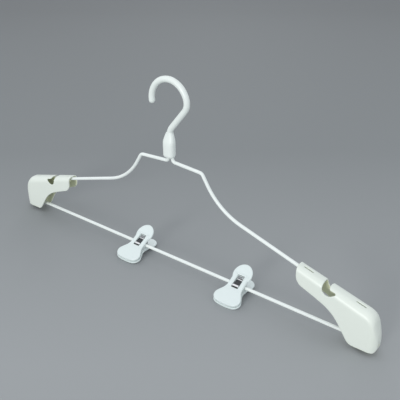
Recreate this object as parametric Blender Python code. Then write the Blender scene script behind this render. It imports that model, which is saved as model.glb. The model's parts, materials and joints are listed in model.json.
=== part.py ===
"""Delicates hanger: coated wire frame, moulded hook, hollow shoulder ends and two sprung clips.

Sizes are in millimetres, x to the right and z up, measured from the neck line, where the wire
leaves the collar. The finished model stands with the inner top of the hook at the origin.
"""

import math

import bmesh
import bpy
from mathutils import Matrix, Vector

MM = 0.001

# Fits
FIT = 0.3                     # gap between pieces that seat in each other
OVERCUT = 1.0                 # how far a cutter runs past the wall that it cuts
CHORD = 0.05                  # how far an arc's straight pieces may lie from the true arc

# Wire
WIRE_D = 3.4                  # steel core with its plastic coat
WIRE_SIDES = 4                # bevel resolution of every wire and bore
HAIRPIN_R = 2.5               # bend of the shoulder wire inside the collar
HAIRPIN_Z = 21.5
NECK_Z = 2.4                  # where the wire turns outward below the collar
NECK_BEND_R = 3.5
CORNER_X = 38.2               # corner at the end of the level neck
CORNER_Z = 0.2
CORNER_R = 5.0
SLOPE_X = 58.7                # where the steep part runs into the shoulder slope
SLOPE_Z = -33.0
SLOPE_R = 70.0

# Hook
HOOK_TUBE_D = 6.1
HOOK_R = 21.2                 # centre line of the round part
HOOK_Z = 63.0                 # centre of the round part
HOOK_TIP_ANGLE = 187.0
HOOK_HEEL_ANGLE = 14.0        # where the round part tightens into the heel
HOOK_HEEL_R = 13.0
STEM_Z = 34.7                 # where the slanted run meets the upright stem
STEM_BEND_R = 12.0
STEM_ROOT_Z = 25.0            # the stem ends inside the collar

# Collar
COLLAR_FOOT_Z = 7.3
COLLAR_SHOULDER_Z = 23.0      # full width below here
COLLAR_TOP_Z = 33.5
COLLAR_OFF_X = -0.7           # middle of the collar beside and before the wires
COLLAR_OFF_Y = -0.8
COLLAR_HALF_WIDTH = 6.8
COLLAR_FOOT_HALF_WIDTH = 6.3
COLLAR_HALF_DEPTH = 4.7
COLLAR_TOP_HALF_DEPTH = 3.0
COLLAR_FOOT_ROUND = 1.8
COLLAR_SHOULDER_POWER = 1.25
COLLAR_RIM = 1.2              # wall left round the recess in the foot
COLLAR_RECESS = 1.5

# Shoulder ends, from the inner top corner of the right one
END_X = 143.5
END_Z = -55.6
END_LENGTH = 79.0             # along x, to where the roof line meets the outer end
END_ROOF_DROP = 22.2          # fall of the roof over that length
END_BULGE = 6.9               # how far the outer end leans out below the roof
END_BULGE_DROP = 23.2
END_NOSE_R = 13.0
END_CHEEK_R = 40.0
END_WALL = 1.6
END_EDGE_R_INNER = 5.2        # rounding between roof and side walls, at the inner end
END_EDGE_R_OUTER = 7.6        # and at the nose
END_HALF_DEPTH_INNER = 6.8
END_HALF_DEPTH_OUTER = 8.4
END_BOW = 9.5                 # length over which the walls draw in to the nose
END_BOW_POWER = 2.3
END_SWELL = 0.35              # how far the side walls swell out half way up
END_PAST = 26.0               # how far the full form is carried on past its open sides
MOUTH_TOP_X = 2.4             # inner end, far above the roof
MOUTH_TOP_RISE = 30.0
MOUTH_X = 4.6                 # lower corner of the inner end
MOUTH_DROP = 17.4
MOUTH_R = 10.0
BELLY_X = 42.5                # hollow of the underside
BELLY_DROP = 32.4
BELLY_R = 45.0
FOOT_DROP = 6.6               # foot below the middle of the bar
FOOT_X = 60.9
FOOT_R = 8.0
TOE_INSET = 0.9               # the outer end turns in a little towards the foot
TOE_RISE = 0.2                # and is rounded off just above it
TOE_SLANT = 5.0               # fall of the toe's underside over END_PAST
TOE_R = 5.5

# Strap notch in each shoulder end, from the same corner
NOTCH_X = 29.6                # inner side at the top
NOTCH_FLOOR_X = 30.6
NOTCH_FLOOR_DROP = 23.7
NOTCH_FLOOR_R = 5.8
NOTCH_TIP_X = 44.5            # end of the undercut below the hooked lip
NOTCH_TIP_DROP = 14.5
NOTCH_TIP_R = 1.0
LIP_X = 35.8                  # end of the hooked lip
LIP_TOP_DROP = 9.6
LIP_UNDER_X = 37.2            # and where its underside starts
LIP_UNDER_DROP = 12.8
LIP_R = 2.2
NOTCH_RISE = 6.0              # how far the cut runs above the corner

# Slots in the roof and ribs that the wires snap into
SLOT_LENGTH = 10.0
SLOT_WIDTH = 1.4
SLOT_X = (13.5, 65.0)
RIB = 1.6
RIB_LIP = 2.5                 # rib left below the middle of its wire
SNAP_MOUTH = 2.6
SHOULDER_RIB_X = (6.5, 20.5)
WIRE_IN_END_X = 23.5          # end of the shoulder wire
WIRE_IN_END_DROP = 10.6

# Bottom bar
BAR_Z = -109.1
BAR_RISER_X = 76.5            # upright run in the outer end
BAR_RISER_DROP = 25.6         # top of that run
BAR_RETURN_X = 55.5           # end of the bar, turned back under the roof
BAR_RETURN_DROP = 19.2
BAR_LOWER_R = 12.0
BAR_UPPER_R = 10.0
BAR_RIB_X = (62.5, 69.5)
BAR_RIB_TOP = 5.0
RETURN_RIB_X = 60.0

# Clips
CLIP_X = {"left": -46.0, "right": 83.3}
CLIP_LEAN = {"left": 77.0, "right": 76.0}
HANG_N = 0.95                 # the bar lies this far before the clip's middle plane
HANG_T = 1.5                  # and this far up its length, as the clip hangs on it
PLATE = 2.2
JAW_TIP_N = 2.4               # front face above the middle plane at the jaw's tip
JAW_PIVOT_N = 4.9             # and at the bar
TAB_FLARE = 18.5
TAB_R = 10.4
TAB_T = 10.6
WAIST = 8.9
WAIST_END_T = -2.6
FLANK_R = 13.4
CORNER_JAW_X = 7.9
CORNER_JAW_T = -17.7
CORNER_JAW_R = 7.0
JAW_CROWN = 0.7
JAW_EDGE_R = 0.8
JAW_GRIP_N = 0.2
WINDOW_HALF = 3.9
WINDOW_T = (-2.0, 9.0)
POCKET_T = -5.4
POCKET_FLOOR_N = 3.9
CHEEK_HALF_IN = 4.2
CHEEK_T = (-8.0, 1.2)
CHEEK_N = 0.3
OPEN_ANGLE = 20.0
OPEN_SPARE = 3.0
GRIP_T = (-21.5, -18.5, -15.5)
GRIP_HALF = 9.0
GRIP_BASE = 1.0

# Spring band of each clip
BAND_WIDTH = 6.6
BAND = 0.7
BAND_TOP_T = 3.4
BAND_CONTACT_T = -2.4
BAND_LIP = 0.9

WHITE_WIRE = (0.86, 0.87, 0.86)
WHITE_HOOK = (0.88, 0.89, 0.88)
WHITE_END = (0.80, 0.84, 0.80)
WHITE_CLIP = (0.76, 0.83, 0.82)
SPRING_STEEL = (0.42, 0.43, 0.44)

# Values that follow from the sizes above
WIRE_R = WIRE_D / 2
BORE_R = WIRE_R + FIT
HOOK_TUBE_R = HOOK_TUBE_D / 2
SADDLE_Z = HOOK_Z + HOOK_R - HOOK_TUBE_R
FOOT_Z = BAR_Z - FOOT_DROP
BAND_N = POCKET_FLOOR_N + FIT + BAND / 2


def point(x, z):
    return Vector((x, z))


def arc_count(radius, turn):
    """How many straight pieces keep an arc within CHORD of the true one."""
    widest = 2 * math.acos(1 - CHORD / max(radius, 2 * CHORD))
    return max(2, math.ceil(abs(turn) / widest))


def arc(centre, radius, start, end):
    """Points on an arc, angles in degrees."""
    count = arc_count(radius, math.radians(end - start))
    angles = [math.radians(start + (end - start) * i / count) for i in range(count + 1)]
    return [centre + radius * Vector((math.cos(a), math.sin(a))) for a in angles]


def rounded(corners, closed=False):
    """A line through corners (x, z, radius), each corner rounded to its radius."""
    points = []
    last = len(corners) - 1
    for i, (x, z, radius) in enumerate(corners):
        here = point(x, z)
        if radius == 0 or (not closed and i in (0, last)):
            points.append(here)
            continue
        before = (Vector(corners[i - 1][:2]) - here).normalized()
        after = (Vector(corners[(i + 1) % len(corners)][:2]) - here).normalized()
        half = before.angle(after) / 2
        centre = here + (before + after).normalized() * (radius / math.sin(half))
        reach = radius / math.tan(half)
        start = here + before * reach - centre
        turn = math.pi - 2 * half
        side = 1 if before.cross(after) < 0 else -1
        count = arc_count(radius, turn)
        for k in range(count + 1):
            swing = Matrix.Rotation(side * turn * k / count, 2)
            points.append(centre + swing @ start)
    return points


def mirrored(line):
    return [Vector((-p.x, p.y)) for p in reversed(line)]


def material(name, colour, roughness, metallic=0.0):
    shader = bpy.data.materials.new(name)
    shader.use_nodes = True
    shader.diffuse_color = (*colour, 1)
    principled = shader.node_tree.nodes["Principled BSDF"]
    principled.inputs["Base Color"].default_value = (*colour, 1)
    principled.inputs["Roughness"].default_value = roughness
    principled.inputs["Metallic"].default_value = metallic
    return shader


def mesh_object(name, mesh, collection):
    obj = bpy.data.objects.new(name, mesh)
    collection.objects.link(obj)
    return obj


def solid_of(obj):
    """The evaluated mesh of an object, welded, in place of the object."""
    bpy.context.view_layer.update()
    evaluated = obj.evaluated_get(bpy.context.evaluated_depsgraph_get())
    mesh = bpy.data.meshes.new_from_object(evaluated)
    mesh.transform(obj.matrix_world)
    bm = bmesh.new()
    bm.from_mesh(mesh)
    bmesh.ops.remove_doubles(bm, verts=bm.verts, dist=0.001 * MM)
    bmesh.ops.recalc_face_normals(bm, faces=bm.faces)
    bm.to_mesh(mesh)
    bm.free()
    bpy.data.objects.remove(obj)
    return mesh


def tube(name, line, radius, radii=None):
    """A round wire along a line in the plane y = 0."""
    curve = bpy.data.curves.new(name, "CURVE")
    curve.dimensions = "3D"
    curve.bevel_depth = radius * MM
    curve.bevel_resolution = WIRE_SIDES
    curve.use_fill_caps = True
    spline = curve.splines.new("POLY")
    spline.points.add(len(line) - 1)
    for i, (target, p) in enumerate(zip(spline.points, line)):
        target.co = (p.x * MM, 0, p.y * MM, 1)
        target.radius = radii[i] if radii else 1
    return mesh_object(name, solid_of(mesh_object(name, curve, WORK)), WORK)


def slab(name, outline, half, across="Y"):
    """A flat outline in the plane y = 0, or x = 0, thickened by half to each side."""
    curve = bpy.data.curves.new(name, "CURVE")
    curve.dimensions = "2D"
    curve.fill_mode = "BOTH"
    curve.extrude = half * MM
    spline = curve.splines.new("POLY")
    spline.points.add(len(outline) - 1)
    for target, p in zip(spline.points, outline):
        target.co = (p.x * MM, p.y * MM, 0, 1)
    spline.use_cyclic_u = True
    obj = mesh_object(name, curve, WORK)
    obj.rotation_euler = (math.radians(90), 0, math.radians(90) if across == "X" else 0)
    return mesh_object(name, solid_of(obj), WORK)


def block(name, low, high):
    """A box between two corners."""
    bm = bmesh.new()
    bmesh.ops.create_cube(bm, size=1)
    size = Vector(high) - Vector(low)
    middle = (Vector(high) + Vector(low)) / 2
    bmesh.ops.scale(bm, vec=size * MM, verts=bm.verts)
    bmesh.ops.translate(bm, vec=middle * MM, verts=bm.verts)
    mesh = bpy.data.meshes.new(name)
    bm.to_mesh(mesh)
    bm.free()
    return mesh_object(name, mesh, WORK)


def loft(name, rings):
    """A closed skin over rings that have the same number of points."""
    bm = bmesh.new()
    rows = [[bm.verts.new(Vector(p) * MM) for p in ring] for ring in rings]
    count = len(rings[0])
    for lower, upper in zip(rows, rows[1:]):
        for i in range(count):
            j = (i + 1) % count
            bm.faces.new((lower[i], lower[j], upper[j], upper[i]))
    bm.faces.new(rows[0][::-1])
    bm.faces.new(rows[-1])
    bmesh.ops.recalc_face_normals(bm, faces=bm.faces)
    mesh = bpy.data.meshes.new(name)
    bm.to_mesh(mesh)
    bm.free()
    return mesh_object(name, mesh, WORK)


def combine(body, operation, *others):
    """Cut, join or intersect the body with the others, and keep the result in the body."""
    for other in others:
        modifier = body.modifiers.new(other.name, "BOOLEAN")
        modifier.operation = operation
        modifier.solver = "EXACT"
        modifier.object = other
    name = body.name
    result = mesh_object(name + "_cut", solid_of(body), WORK)
    for other in others:
        bpy.data.objects.remove(other)
    result.name = name
    return result


def cut(body, *others):
    return combine(body, "DIFFERENCE", *others)


def join(body, *others):
    return combine(body, "UNION", *others)


def common(body, *others):
    return combine(body, "INTERSECT", *others)


def finish(obj, name, shader, parent, sharp=38.0):
    """Give a finished solid its name, its material and its place under an empty."""
    for collection in obj.users_collection:
        collection.objects.unlink(obj)
    HANGER.objects.link(obj)
    obj.name = name
    obj.data.name = name
    obj.data.materials.clear()
    obj.data.materials.append(shader)
    obj.data.shade_smooth()
    obj.data.set_sharp_from_angle(angle=math.radians(sharp))
    obj.parent = parent
    return obj


def hook_line():
    """Centre line of the hook from its tip down to its root in the collar, and the stem's corner."""
    bend = point(0, HOOK_Z)
    heel_angle = math.radians(HOOK_HEEL_ANGLE)
    heel = bend + (HOOK_R - HOOK_HEEL_R) * Vector((math.cos(heel_angle), math.sin(heel_angle)))
    corner = point(0, STEM_Z)
    towards = heel - corner
    slant = math.atan2(towards.y, towards.x) - math.asin(HOOK_HEEL_R / towards.length)
    leave = math.degrees(slant) - 90
    line = arc(bend, HOOK_R, HOOK_TIP_ANGLE, HOOK_HEEL_ANGLE)
    line += arc(heel, HOOK_HEEL_R, HOOK_HEEL_ANGLE, leave)[1:]
    stem = [(line[-1].x, line[-1].y, 0), (0, STEM_Z, STEM_BEND_R), (0, STEM_ROOT_Z, 0)]
    return line + rounded(stem)[1:]


def hook_tube():
    """The round tube, with a domed tip."""
    line = hook_line()
    dome = []
    radii = []
    for share in (0.05, 0.3, 0.6, 0.85):
        back = (1 - share) * HOOK_TUBE_R
        dome.append(line[0] + (line[0] - line[1]).normalized() * back)
        radii.append(math.sqrt(1 - (1 - share) ** 2))
    return tube("hook_tube", dome + line, HOOK_TUBE_R, radii + [1] * len(line))


def oval(half_width, half_depth, z, count=28, power=2.7):
    """A ring between an ellipse and a rectangle."""
    ring = []
    for i in range(count):
        a = 2 * math.pi * i / count
        c = math.cos(a)
        s = math.sin(a)
        x = half_width * math.copysign(abs(c) ** (2 / power), c)
        y = half_depth * math.copysign(abs(s) ** (2 / power), s)
        ring.append((x, y, z))
    return ring


def collar_rise(z):
    """How far up the collar's shoulders a height is, from 0 to 1."""
    return min(1, max(0, (z - COLLAR_SHOULDER_Z) / (COLLAR_TOP_Z - COLLAR_SHOULDER_Z)))


def collar_half_width(z):
    if z > COLLAR_SHOULDER_Z:
        narrow = COLLAR_HALF_WIDTH - HOOK_TUBE_R * 0.9
        power = COLLAR_SHOULDER_POWER
        return COLLAR_HALF_WIDTH - narrow * (1 - (1 - collar_rise(z) ** power) ** (1 / power))
    share = (z - COLLAR_FOOT_Z) / (COLLAR_SHOULDER_Z - COLLAR_FOOT_Z)
    return COLLAR_FOOT_HALF_WIDTH + (COLLAR_HALF_WIDTH - COLLAR_FOOT_HALF_WIDTH) * share


def collar_half_depth(z):
    share = min(1, (COLLAR_TOP_Z - z) / (COLLAR_TOP_Z - COLLAR_FOOT_Z) * 1.8)
    smooth = share * share * (3 - 2 * share)
    return COLLAR_TOP_HALF_DEPTH + (COLLAR_HALF_DEPTH - COLLAR_TOP_HALF_DEPTH) * smooth


def collar_ring(z, inset_by=0.0):
    """Ring of the collar at a height. Its middle moves under the tube towards the top."""
    off = 1 - collar_rise(z)
    ring = oval(collar_half_width(z) - inset_by, collar_half_depth(z) - inset_by, z)
    return [(x + COLLAR_OFF_X * off, y + COLLAR_OFF_Y * off, z) for x, y, z in ring]


def collar():
    """The flattened collar below the hook, with rounded edges at its foot."""
    rings = []
    for angle in (0, 22.5, 45, 67.5):
        inset_by = COLLAR_FOOT_ROUND * (1 - math.sin(math.radians(angle)))
        z = COLLAR_FOOT_Z + COLLAR_FOOT_ROUND * (1 - math.cos(math.radians(angle)))
        rings.append(collar_ring(z, inset_by))
    straight = 5
    base = COLLAR_FOOT_Z + COLLAR_FOOT_ROUND
    for i in range(straight):
        rings.append(collar_ring(base + (COLLAR_SHOULDER_Z - base) * i / straight))
    for angle in (0, 12, 24, 36, 48, 60, 72, 84):
        rise = math.sin(math.radians(angle))
        rings.append(collar_ring(COLLAR_SHOULDER_Z + (COLLAR_TOP_Z - COLLAR_SHOULDER_Z) * rise))
    return loft("collar", rings)


def hairpin_line(tail):
    """Centre line of the hairpin inside the collar, with legs down to the height tail."""
    top = point(0, HAIRPIN_Z)
    return [point(-HAIRPIN_R, tail)] + arc(top, HAIRPIN_R, 180, 0) + [point(HAIRPIN_R, tail)]


def hook_and_collar(shader, parent):
    recess = COLLAR_FOOT_Z + COLLAR_RECESS
    top = collar_ring(recess, COLLAR_RIM)
    low = [(x, y, COLLAR_FOOT_Z - OVERCUT) for x, y, _ in top]
    hollow = loft("recess", [low, top])
    bore = tube("hairpin_bore", hairpin_line(COLLAR_FOOT_Z - OVERCUT), BORE_R)
    body = join(hook_tube(), collar())
    finish(cut(body, hollow, bore), "hook_and_collar", shader, parent)


def wire_end():
    """The last straight run of the shoulder wire, from its slope corner to its end."""
    return point(SLOPE_X, SLOPE_Z), point(END_X + WIRE_IN_END_X, END_Z - WIRE_IN_END_DROP)


def wire_height(x):
    """Height of the shoulder wire's middle on its last run."""
    start, end = wire_end()
    return start.y + (end.y - start.y) * (x - start.x) / (end.x - start.x)


def shoulder_wire(shader, parent):
    start, end = wire_end()
    right = rounded([
        (HAIRPIN_R, HAIRPIN_Z, 0),
        (HAIRPIN_R, NECK_Z, NECK_BEND_R),
        (CORNER_X, CORNER_Z, CORNER_R),
        (start.x, start.y, SLOPE_R),
        (end.x, end.y, 0),
    ])
    top = arc(point(0, HAIRPIN_Z), HAIRPIN_R, 180, 0)
    line = mirrored(right)[:-1] + top + right[1:]
    finish(tube("wire", line, WIRE_R), "shoulder_wire", shader, parent)


def bar_corners():
    """Corners of the right half of the bottom bar, from its turned-back end."""
    riser = END_X + BAR_RISER_X
    return [
        (END_X + BAR_RETURN_X, END_Z - BAR_RETURN_DROP, 0),
        (riser, END_Z - BAR_RISER_DROP, BAR_UPPER_R),
        (riser, BAR_Z, BAR_LOWER_R),
    ]


def return_height(x):
    """Height of the bar's turned-back end."""
    end, corner = bar_corners()[:2]
    return end[1] + (corner[1] - end[1]) * (x - end[0]) / (corner[0] - end[0])


def bar_line():
    """Centre line of the right half of the bottom bar, from its turned-back end to the middle."""
    return rounded(bar_corners() + [(0, BAR_Z, 0)])


def bottom_bar(shader, parent):
    right = bar_line()[:-1]
    finish(tube("bar", right + mirrored(right), WIRE_R), "bottom_bar", shader, parent)


def outward(inner, outer, x):
    """A size at x, from its values at the inner end and at the nose."""
    return inner + (outer - inner) * (x - END_X) / (END_LENGTH + END_BULGE)


def end_half_depth(x, wall):
    """Half the depth of the shell at x, less the wall: wider outward, and drawn in at the nose."""
    full = outward(END_HALF_DEPTH_INNER, END_HALF_DEPTH_OUTER, x) - wall
    bow_start = END_X + END_LENGTH + END_BULGE - END_BOW
    into_bow = min(0.999, max(0, (x - bow_start) / (END_BOW - wall)))
    return full * (1 - into_bow ** END_BOW_POWER) ** (1 / END_BOW_POWER)


def roof_height(x):
    return END_Z - (x - END_X) * END_ROOF_DROP / END_LENGTH


def crown_outline(wall):
    """Roof, outer end and toe of the right shoulder end, moved in by the wall."""
    slope = END_ROOF_DROP / END_LENGTH
    below_roof = wall * math.sqrt(1 + slope * slope)
    roof_end = END_X + END_LENGTH - wall
    cheek = END_X + END_LENGTH + END_BULGE - wall
    toe = cheek - TOE_INSET
    toe_z = FOOT_Z + TOE_RISE + wall
    back = END_X - END_PAST
    return rounded([
        (back, roof_height(back) - below_roof, 0),
        (roof_end, roof_height(roof_end) - below_roof, END_NOSE_R - wall),
        (cheek, END_Z - END_ROOF_DROP - END_BULGE_DROP, END_CHEEK_R - wall),
        (toe, toe_z, TOE_R - wall),
        (toe - END_PAST, toe_z - TOE_SLANT, 0),
        (back, FOOT_Z - END_PAST, 0),
    ], closed=True)


def span(outline, x):
    """Lowest and highest point of an outline at x."""
    heights = []
    for a, b in zip(outline, outline[1:] + outline[:1]):
        if a.x != b.x and min(a.x, b.x) <= x <= max(a.x, b.x):
            heights.append(a.y + (b.y - a.y) * (x - a.x) / (b.x - a.x))
    return min(heights), max(heights)


def crown_ring(x, low, high, half, edge):
    """Ring round the shell at x, with swelling walls and round roof edges."""
    r = min(edge, 0.95 * half, 0.48 * (high - low))
    swell = min(END_SWELL, 0.05 * half)
    side = []
    for up in (0, 0.35, 0.65, 1):
        share = up * (high - r - low) / (high - low)
        side.append((half + swell * 4 * share * (1 - share), low + share * (high - low)))
    wall = side[-1][0]
    for degrees in (18, 36, 54, 72, 90):
        a = math.radians(degrees)
        side.append((wall - r + r * math.cos(a), high - r + r * math.sin(a)))
    near = [(x, y, z) for y, z in side]
    return near + [(x, -y, z) for _, y, z in reversed(near)]


def crown(name, wall):
    """The full form of the shell, or of its hollow when moved in by the wall."""
    outline = crown_outline(wall)
    first = END_X - END_PAST + OVERCUT
    bend = END_X + END_LENGTH - END_NOSE_R
    tip = max(p.x for p in outline) - CHORD / 2
    stations = [first + (bend - first) * i / 5 for i in range(5)]
    stations += [bend + (tip - bend) * math.sin(math.pi / 2 * i / 12) for i in range(13)]
    rings = []
    for x in stations:
        edge = outward(END_EDGE_R_INNER, END_EDGE_R_OUTER, x) - wall
        rings.append(crown_ring(x, *span(outline, x), end_half_depth(x, wall), edge))
    return loft(name, rings)


def end_profile():
    """Side view of the right shoulder end below its roof: inner end, underside and foot."""
    above = END_Z + MOUTH_TOP_RISE
    beyond = END_X + END_LENGTH + END_PAST
    return rounded([
        (END_X + MOUTH_TOP_X, above, 0),
        (beyond, above, 0),
        (beyond, FOOT_Z, 0),
        (END_X + FOOT_X, FOOT_Z, FOOT_R),
        (END_X + BELLY_X, END_Z - BELLY_DROP, BELLY_R),
        (END_X + MOUTH_X, END_Z - MOUTH_DROP, MOUTH_R),
    ], closed=True)


def snap_mouth(name, line):
    """Cutter for the mouth below a wire's bore, narrower than the wire, so that it snaps in."""
    low = [Vector((p.x, p.y - RIB_LIP - OVERCUT)) for p in reversed(line)]
    return slab(name, line + low, SNAP_MOUTH / 2)


def rib(name, x, low, high):
    """Block that keeps a rib in the hollow at x."""
    across = END_HALF_DEPTH_OUTER + OVERCUT
    return block(name, (x - RIB / 2, -across, low), (x + RIB / 2, across, high))


def end_ribs():
    """Blocks for the ribs that carry the shoulder wire and the bar."""
    above = END_Z + OVERCUT
    blocks = []
    for offset in SHOULDER_RIB_X:
        x = END_X + offset
        blocks.append(rib("shoulder_rib", x, wire_height(x) - RIB_LIP, above))
    x = END_X + RETURN_RIB_X
    blocks.append(rib("return_rib", x, return_height(x) - RIB_LIP, above))
    for offset in BAR_RIB_X:
        x = END_X + offset
        blocks.append(rib("bar_rib", x, BAR_Z - RIB_LIP, BAR_Z + BAR_RIB_TOP))
    return blocks


def roof_slot(name, x):
    """Cutter for a slot along the roof."""
    half = SLOT_LENGTH / 2
    deep = END_WALL + 2 * OVERCUT
    slot = block(name, (-half, -SLOT_WIDTH / 2, -deep), (half, SLOT_WIDTH / 2, deep))
    turn = Matrix.Rotation(math.atan(END_ROOF_DROP / END_LENGTH), 4, "Y")
    slot.data.transform(Matrix.Translation(Vector((x, 0, roof_height(x))) * MM) @ turn)
    return slot


def notch():
    """Cutter for the hooked strap notch."""
    above = END_Z + NOTCH_RISE
    outline = rounded([
        (END_X + NOTCH_X, above, 0),
        (END_X + LIP_X, above, 0),
        (END_X + LIP_X, END_Z - LIP_TOP_DROP, 0),
        (END_X + LIP_UNDER_X, END_Z - LIP_UNDER_DROP, LIP_R),
        (END_X + NOTCH_TIP_X, END_Z - NOTCH_TIP_DROP, NOTCH_TIP_R),
        (END_X + NOTCH_FLOOR_X, END_Z - NOTCH_FLOOR_DROP, NOTCH_FLOOR_R),
    ], closed=True)
    return slab("notch", outline, END_HALF_DEPTH_OUTER + OVERCUT)


def shoulder_end_mesh():
    """The right shoulder end: an open shell with its notch, slots and snap ribs."""
    profile = slab("profile", end_profile(), END_HALF_DEPTH_OUTER + OVERCUT)
    shell = common(crown("end", 0), profile)
    hollow = cut(crown("hollow", END_WALL), *end_ribs())
    start, end = wire_end()
    past_end = end + (end - start).normalized() * FIT
    inside = point(END_X - OVERCUT, wire_height(END_X - OVERCUT))
    bar = bar_line()
    bar_end = bar[0] + (bar[0] - bar[1]).normalized() * FIT
    rib_x = END_X + RETURN_RIB_X + RIB
    low_run = [p for p in bar if p.y < BAR_Z + BAR_RIB_TOP and p.x < END_X + BAR_RIB_X[-1] + RIB]
    low_run[-1] = point(END_X + BELLY_X, BAR_Z)
    seats = [
        tube("shoulder_bore", [inside, past_end], BORE_R),
        snap_mouth("shoulder_mouth", [inside, past_end]),
        tube("bar_bore", [bar_end] + bar[1:-1] + low_run[-1:], BORE_R),
        snap_mouth("return_mouth", [bar_end, point(rib_x, return_height(rib_x))]),
        snap_mouth("bar_mouth", low_run),
    ]
    slots = [roof_slot(f"slot_{i}", END_X + x) for i, x in enumerate(SLOT_X)]
    return cut(shell, hollow, *seats, notch(), *slots)


def shoulder_ends(shader, parent):
    right = shoulder_end_mesh()
    bm = bmesh.new()
    bm.from_mesh(right.data)
    bmesh.ops.scale(bm, vec=(-1, 1, 1), verts=bm.verts)
    bmesh.ops.reverse_faces(bm, faces=bm.faces)
    mesh = bpy.data.meshes.new("left_end")
    bm.to_mesh(mesh)
    bm.free()
    left = mesh_object("left_end", mesh, WORK)
    finish(right, "shoulder_end_right", shader, parent)
    finish(left, "shoulder_end_left", shader, parent)


def jaw_face(t):
    """Height of a jaw's outer face above the clip's middle plane."""
    if t > 0:
        return JAW_PIVOT_N + t * math.tan(math.radians(TAB_FLARE))
    tip = CORNER_JAW_T - CORNER_JAW_R - JAW_CROWN
    return JAW_PIVOT_N + (JAW_TIP_N - JAW_PIVOT_N) * t / tip


def jaw_half_outline():
    """Half width and place along the clip, from the thumb tab down to the jaw's tip."""
    waist_angle = -math.degrees(math.acos(WAIST / TAB_R))
    line = arc(point(0, TAB_T), TAB_R, 85, waist_angle)
    flank = point(WAIST + FLANK_R, WAIST_END_T)
    corner = point(CORNER_JAW_X, CORNER_JAW_T)
    between = corner - flank
    turn = math.degrees(math.atan2(between.y, between.x))
    apart = math.degrees(math.acos((FLANK_R + CORNER_JAW_R) / between.length))
    line += arc(flank, FLANK_R, 180, 360 + turn - apart)
    line += arc(corner, CORNER_JAW_R, turn + 180 - apart, -90)
    for share in (0.6, 0.9):
        width = CORNER_JAW_X * math.sqrt(1 - share * share)
        line.append(point(width, CORNER_JAW_T - CORNER_JAW_R - JAW_CROWN * share))
    return line


def jaw_ring(half, t):
    """Section of the jaw plate with softly rounded edges, the outer face towards -y."""
    face = jaw_face(t)
    slope = math.tan(math.radians(TAB_FLARE)) if t > 0 else 0
    back = face - PLATE * math.sqrt(1 + slope * slope)
    r = min(JAW_EDGE_R, half * 0.9)
    ring = []
    for x_side, n, start in ((1, face, 0), (-1, face, 90), (-1, back, 180), (1, back, 270)):
        centre_x = x_side * (half - r)
        centre_n = n - r if n == face else n + r
        for angle in (start, start + 45, start + 90):
            a = math.radians(angle)
            ring.append((centre_x + r * math.cos(a), -(centre_n + r * math.sin(a)), t))
    return ring


def cheeks():
    """Two cheeks between the plates, cut to leave the bar free and to let the clip open."""
    lean = math.tan(math.radians(OPEN_ANGLE + OPEN_SPARE))
    top = CHEEK_T[1]
    into_plate = PLATE / 2
    outline = [
        point(-CHEEK_N, CHEEK_T[0]),
        point(-CHEEK_N, 0),
        point(-CHEEK_N - top * lean, top),
        point(into_plate - jaw_face(top), top),
        point(into_plate - jaw_face(CHEEK_T[0]), CHEEK_T[0]),
    ]
    pieces = []
    half = (WAIST - CHEEK_HALF_IN) / 2
    for side in (-1, 1):
        piece = slab("cheek", outline, half - JAW_EDGE_R / 4, across="X")
        piece.data.transform(Matrix.Translation((side * (CHEEK_HALF_IN + half) * MM, 0, 0)))
        pieces.append(piece)
    return pieces


def grips():
    """Three ribs across the inside of the jaw."""
    ribs = []
    for t in GRIP_T:
        face = jaw_face(t) - PLATE / 2
        low = (-GRIP_HALF, -face, t - GRIP_BASE / 2)
        ribs.append(block("grip", low, (GRIP_HALF, -JAW_GRIP_N, t + GRIP_BASE / 2)))
    return ribs


def jaw(bar_n):
    """One half of a clip with its middle plane at y = 0, and the bar above it by bar_n."""
    body = loft("jaw", [jaw_ring(p.x, p.y) for p in jaw_half_outline()])
    body = join(body, *cheeks(), *grips())
    far = jaw_face(WINDOW_T[1]) + OVERCUT
    window = block("window", (-WINDOW_HALF, -far, WINDOW_T[0]), (WINDOW_HALF, 0, WINDOW_T[1]))
    pocket = block("pocket", (-WINDOW_HALF, -far, POCKET_T),
                   (WINDOW_HALF, -POCKET_FLOOR_N, WINDOW_T[0] + OVERCUT))
    bm = bmesh.new()
    bmesh.ops.create_cone(bm, cap_ends=True, segments=20, radius1=BORE_R * MM, radius2=BORE_R * MM,
                          depth=2 * (WAIST + OVERCUT) * MM)
    bmesh.ops.rotate(bm, matrix=Matrix.Rotation(math.radians(90), 3, "Y"), verts=bm.verts)
    bmesh.ops.translate(bm, vec=Vector((0, -bar_n, HANG_T)) * MM, verts=bm.verts)
    mesh = bpy.data.meshes.new("bar_seat")
    bm.to_mesh(mesh)
    bm.free()
    seat = mesh_object("bar_seat", mesh, WORK)
    return cut(body, window, pocket, seat)


def band_outline():
    """Side view of the bent spring band, as (y, z)."""
    centre = point(0, BAND_TOP_T)
    lip = point(-BAND_N - BAND_LIP, BAND_CONTACT_T - BAND_LIP)
    left = [lip, point(-BAND_N, BAND_CONTACT_T)]
    middle = left + arc(centre, BAND_N, 180, 0) + mirrored(left)
    outer = []
    inner = []
    for i, here in enumerate(middle):
        before = middle[max(i - 1, 0)]
        after = middle[min(i + 1, len(middle) - 1)]
        along = (after - before).normalized()
        across = Vector((-along.y, along.x)) * BAND / 2
        outer.append(here + across)
        inner.append(here - across)
    return outer + inner[::-1]


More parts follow.
